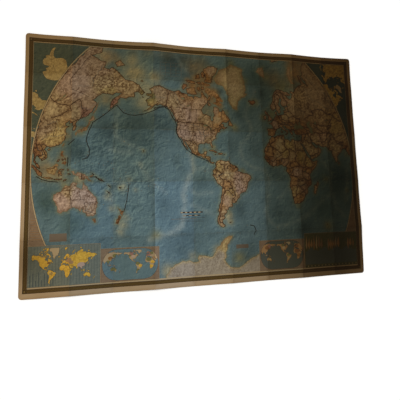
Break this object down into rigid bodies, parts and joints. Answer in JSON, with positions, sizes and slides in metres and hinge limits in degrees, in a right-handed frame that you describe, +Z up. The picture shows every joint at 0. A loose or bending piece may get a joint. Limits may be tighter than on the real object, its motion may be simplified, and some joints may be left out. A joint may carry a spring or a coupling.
{
  "type": "paper map",
  "caption": "Large rectangular printed paper sheet map, opened out flat, with a grid of fold creases standing up in low ridges.",
  "frame": {"origin": "under the middle of the sheet, level with the lowest paper", "axes": "+X across the sheet from its left edge to its right edge, +Y from its bottom edge to its top edge, +Z up, out of the printed face"},
  "size_m": [1.08, 0.75, 0.0112],
  "materials": {
    "printed_paper": "matt printed paper, worn at the creases"
  },
  "bodies": {
    "root": {"map_sheet": "printed_paper"}
  },
  "joints": []
}
